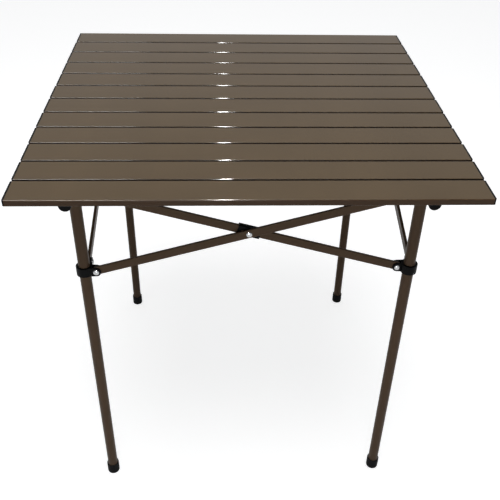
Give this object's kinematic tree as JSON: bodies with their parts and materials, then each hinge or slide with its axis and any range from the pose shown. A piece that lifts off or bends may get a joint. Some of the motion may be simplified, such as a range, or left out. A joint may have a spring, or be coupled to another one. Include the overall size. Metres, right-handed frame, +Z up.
{
  "type": "folding camp table",
  "caption": "Square folding camp table: roll-up slatted top on rails, tube legs joined by crossed bars that fold, black plastic joints and feet.",
  "frame": {"origin": "floor level, under the middle of the table top", "axes": "+X to the right along the slats, +Y to the rear across the slats, +Z up"},
  "size_m": [0.7, 0.7, 0.7],
  "materials": {
    "bronze_painted_aluminium": "semi-gloss bronze-brown paint",
    "black_plastic": "satin moulded",
    "black_rubber": "matt moulded",
    "bright_rivet_metal": "bright domed heads",
    "black_elastic_cord": "woven cover"
  },
  "bodies": {
    "leg_front_left": {"leg_front_left": "bronze_painted_aluminium", "foot_front_left": "black_rubber", "hub_front_left": "black_plastic"},
    "collar_front_left": {"collar_front_left": "black_plastic", "collar_rivet_front_left_a": "bright_rivet_metal", "collar_rivet_front_left_b": "bright_rivet_metal"},
    "leg_front_right": {"leg_front_right": "bronze_painted_aluminium", "foot_front_right": "black_rubber", "hub_front_right": "black_plastic"},
    "collar_front_right": {"collar_front_right": "black_plastic", "collar_rivet_front_right_a": "bright_rivet_metal", "collar_rivet_front_right_b": "bright_rivet_metal"},
    "leg_rear_right": {"leg_rear_right": "bronze_painted_aluminium", "foot_rear_right": "black_rubber", "hub_rear_right": "black_plastic"},
    "collar_rear_right": {"collar_rear_right": "black_plastic", "collar_rivet_rear_right_a": "bright_rivet_metal", "collar_rivet_rear_right_b": "bright_rivet_metal"},
    "leg_rear_left": {"leg_rear_left": "bronze_painted_aluminium", "foot_rear_left": "black_rubber", "hub_rear_left": "black_plastic"},
    "collar_rear_left": {"collar_rear_left": "black_plastic", "collar_rivet_rear_left_a": "bright_rivet_metal", "collar_rivet_rear_left_b": "bright_rivet_metal"},
    "bar_front_outer": {"bar_front_outer": "bronze_painted_aluminium"},
    "bar_front_inner": {"bar_front_inner": "bronze_painted_aluminium", "crossing_sleeve_front": "black_plastic", "crossing_rivet_front": "bright_rivet_metal"},
    "bar_right_outer": {"bar_right_outer": "bronze_painted_aluminium"},
    "bar_right_inner": {"bar_right_inner": "bronze_painted_aluminium", "crossing_sleeve_right": "black_plastic", "crossing_rivet_right": "bright_rivet_metal"},
    "bar_rear_outer": {"bar_rear_outer": "bronze_painted_aluminium"},
    "bar_rear_inner": {"bar_rear_inner": "bronze_painted_aluminium", "crossing_sleeve_rear": "black_plastic", "crossing_rivet_rear": "bright_rivet_metal"},
    "bar_left_outer": {"bar_left_outer": "bronze_painted_aluminium"},
    "bar_left_inner": {"bar_left_inner": "bronze_painted_aluminium", "crossing_sleeve_left": "black_plastic", "crossing_rivet_left": "bright_rivet_metal"},
    "rail_left": {"rail_left": "bronze_painted_aluminium", "rail_cap_front_left": "black_plastic", "rail_cap_rear_left": "black_plastic"},
    "rail_right": {"rail_right": "bronze_painted_aluminium", "rail_cap_front_right": "black_plastic", "rail_cap_rear_right": "black_plastic"},
    "slat_01": {"slat_01": "bronze_painted_aluminium"},
    "slat_02": {"slat_02": "bronze_painted_aluminium"},
    "slat_03": {"slat_03": "bronze_painted_aluminium"},
    "slat_04": {"slat_04": "bronze_painted_aluminium"},
    "slat_05": {"slat_05": "bronze_painted_aluminium"},
    "slat_06": {"slat_06": "bronze_painted_aluminium"},
    "slat_07": {"slat_07": "bronze_painted_aluminium", "elastic_cord_left": "black_elastic_cord", "elastic_cord_right": "black_elastic_cord"},
    "slat_08": {"slat_08": "bronze_painted_aluminium"},
    "slat_09": {"slat_09": "bronze_painted_aluminium"},
    "slat_10": {"slat_10": "bronze_painted_aluminium"},
    "slat_11": {"slat_11": "bronze_painted_aluminium"},
    "slat_12": {"slat_12": "bronze_painted_aluminium"}
  },
  "joints": [
    {"name": "frame_fold", "type": "hinge", "parent": "leg_rear_left", "child": "bar_left_inner", "pos_m": [-0.264, 0.248, 0.6609], "axis": [1, 0, 0], "range_deg": [0, 71.4]},
    {"name": "left_crossing", "type": "hinge", "parent": "bar_left_inner", "child": "bar_left_outer", "pos_m": [-0.272, 0, 0.5896], "axis": [1, 0, 0], "range_deg": [-142.8, 0]},
    {"name": "hub_front_left_pin", "type": "hinge", "parent": "bar_left_outer", "child": "leg_front_left", "pos_m": [-0.272, -0.248, 0.6609], "axis": [1, 0, 0], "range_deg": [0, 71.4]},
    {"name": "collar_front_left_pin", "type": "hinge", "parent": "bar_left_inner", "child": "collar_front_left", "pos_m": [-0.264, -0.248, 0.5183], "axis": [1, 0, 0], "range_deg": [-71.4, 0]},
    {"name": "collar_rear_left_pin", "type": "hinge", "parent": "bar_left_outer", "child": "collar_rear_left", "pos_m": [-0.272, 0.248, 0.5183], "axis": [1, 0, 0], "range_deg": [0, 71.4]},
    {"name": "hub_rear_left_pin", "type": "hinge", "parent": "leg_rear_left", "child": "bar_rear_outer", "pos_m": [-0.248, 0.272, 0.6609], "axis": [0, 1, 0], "range_deg": [0, 71.4]},
    {"name": "rear_crossing", "type": "hinge", "parent": "bar_rear_outer", "child": "bar_rear_inner", "pos_m": [0, 0.264, 0.5896], "axis": [0, 1, 0], "range_deg": [-142.8, 0]},
    {"name": "hub_rear_right_pin", "type": "hinge", "parent": "bar_rear_inner", "child": "leg_rear_right", "pos_m": [0.248, 0.264, 0.6609], "axis": [0, 1, 0], "range_deg": [0, 71.4]},
    {"name": "collar_rear_right_pin", "type": "hinge", "parent": "bar_rear_outer", "child": "collar_rear_right", "pos_m": [0.248, 0.272, 0.5183], "axis": [0, 1, 0], "range_deg": [-71.4, 0]},
    {"name": "hub_front_left_front_pin", "type": "hinge", "parent": "leg_front_left", "child": "bar_front_inner", "pos_m": [-0.248, -0.264, 0.6609], "axis": [0, 1, 0], "range_deg": [0, 71.4]},
    {"name": "front_crossing", "type": "hinge", "parent": "bar_front_inner", "child": "bar_front_outer", "pos_m": [0, -0.272, 0.5896], "axis": [0, 1, 0], "range_deg": [-142.8, 0]},
    {"name": "hub_front_right_pin", "type": "hinge", "parent": "bar_front_outer", "child": "leg_front_right", "pos_m": [0.248, -0.272, 0.6609], "axis": [0, 1, 0], "range_deg": [0, 71.4]},
    {"name": "collar_front_right_pin", "type": "hinge", "parent": "bar_front_inner", "child": "collar_front_right", "pos_m": [0.248, -0.264, 0.5183], "axis": [0, 1, 0], "range_deg": [-71.4, 0]},
    {"name": "hub_rear_right_side_pin", "type": "hinge", "parent": "leg_rear_right", "child": "bar_right_outer", "pos_m": [0.272, 0.248, 0.6609], "axis": [1, 0, 0], "range_deg": [0, 71.4]},
    {"name": "right_crossing", "type": "hinge", "parent": "bar_right_outer", "child": "bar_right_inner", "pos_m": [0.264, 0, 0.5896], "axis": [1, 0, 0], "range_deg": [-142.8, 0]},
    {"name": "top_lift", "type": "slide", "parent": "leg_rear_left", "child": "slat_07", "axis": [0, 0, 1], "range_m": [0, 0.3]},
    {"name": "rail_left_lift", "type": "slide", "parent": "leg_rear_left", "child": "rail_left", "axis": [0, 0, 1], "range_m": [0, 0.15]},
    {"name": "rail_right_lift", "type": "slide", "parent": "leg_rear_right", "child": "rail_right", "axis": [0, 0, 1], "range_m": [0, 0.15]},
    {"name": "top_roll", "type": "hinge", "parent": "slat_07", "child": "slat_06", "pos_m": [0, 0, 0.7], "axis": [-1, 0, 0], "range_deg": [0, 50.62], "deforming": ["elastic_cord_left", "elastic_cord_right"]},
    {"name": "slat_05_hinge", "type": "hinge", "parent": "slat_06", "child": "slat_05", "pos_m": [0, -0.05854, 0.7], "axis": [-1, 0, 0], "range_deg": [0, 54.72]},
    {"name": "slat_04_hinge", "type": "hinge", "parent": "slat_05", "child": "slat_04", "pos_m": [0, -0.11708, 0.7], "axis": [-1, 0, 0], "range_deg": [0, 60.44]},
    {"name": "slat_03_hinge", "type": "hinge", "parent": "slat_04", "child": "slat_03", "pos_m": [0, -0.17563, 0.7], "axis": [-1, 0, 0], "range_deg": [0, 68.04]},
    {"name": "slat_02_hinge", "type": "hinge", "parent": "slat_03", "child": "slat_02", "pos_m": [0, -0.23417, 0.7], "axis": [-1, 0, 0], "range_deg": [0, 77.81]},
    {"name": "slat_01_hinge", "type": "hinge", "parent": "slat_02", "child": "slat_01", "pos_m": [0, -0.29271, 0.7], "axis": [-1, 0, 0], "range_deg": [0, 90]},
    {"name": "slat_08_hinge", "type": "hinge", "parent": "slat_07", "child": "slat_08", "pos_m": [0, 0.05854, 0.7], "axis": [1, 0, 0], "range_deg": [0, 47.88]},
    {"name": "slat_09_hinge", "type": "hinge", "parent": "slat_08", "child": "slat_09", "pos_m": [0, 0.11708, 0.7], "axis": [1, 0, 0], "range_deg": [0, 46.22]},
    {"name": "slat_10_hinge", "type": "hinge", "parent": "slat_09", "child": "slat_10", "pos_m": [0, 0.17563, 0.7], "axis": [1, 0, 0], "range_deg": [0, 45.36]},
    {"name": "slat_11_hinge", "type": "hinge", "parent": "slat_10", "child": "slat_11", "pos_m": [0, 0.23417, 0.7], "axis": [1, 0, 0], "range_deg": [0, 45.05]},
    {"name": "slat_12_hinge", "type": "hinge", "parent": "slat_11", "child": "slat_12", "pos_m": [0, 0.29271, 0.7], "axis": [1, 0, 0], "range_deg": [0, 45]}
  ],
  "couplings": [
    {"joint": "left_crossing", "follows": "frame_fold", "ratio": -2},
    {"joint": "hub_front_left_pin", "follows": "frame_fold", "ratio": 1},
    {"joint": "collar_front_left_pin", "follows": "frame_fold", "ratio": -1},
    {"joint": "collar_rear_left_pin", "follows": "frame_fold", "ratio": 1},
    {"joint": "hub_rear_left_pin", "follows": "frame_fold", "ratio": 1},
    {"joint": "rear_crossing", "follows": "frame_fold", "ratio": -2},
    {"joint": "hub_rear_right_pin", "follows": "frame_fold", "ratio": 1},
    {"joint": "collar_rear_right_pin", "follows": "frame_fold", "ratio": -1},
    {"joint": "hub_front_left_front_pin", "follows": "frame_fold", "ratio": 1},
    {"joint": "front_crossing", "follows": "frame_fold", "ratio": -2},
    {"joint": "hub_front_right_pin", "follows": "frame_fold", "ratio": 1},
    {"joint": "collar_front_right_pin", "follows": "frame_fold", "ratio": -1},
    {"joint": "hub_rear_right_side_pin", "follows": "frame_fold", "ratio": 1},
    {"joint": "right_crossing", "follows": "frame_fold", "ratio": -2},
    {"joint": "rail_left_lift", "follows": "top_lift", "ratio": 0.5},
    {"joint": "rail_right_lift", "follows": "top_lift", "ratio": 0.5},
    {"joint": "slat_05_hinge", "follows": "top_roll", "ratio": 1.0809},
    {"joint": "slat_04_hinge", "follows": "top_roll", "ratio": 1.1938},
    {"joint": "slat_03_hinge", "follows": "top_roll", "ratio": 1.344},
    {"joint": "slat_02_hinge", "follows": "top_roll", "ratio": 1.5369},
    {"joint": "slat_01_hinge", "follows": "top_roll", "ratio": 1.7778},
    {"joint": "slat_08_hinge", "follows": "top_roll", "ratio": 0.9458},
    {"joint": "slat_09_hinge", "follows": "top_roll", "ratio": 0.9129},
    {"joint": "slat_10_hinge", "follows": "top_roll", "ratio": 0.896},
    {"joint": "slat_11_hinge", "follows": "top_roll", "ratio": 0.8898},
    {"joint": "slat_12_hinge", "follows": "top_roll", "ratio": 0.8889}
  ]
}
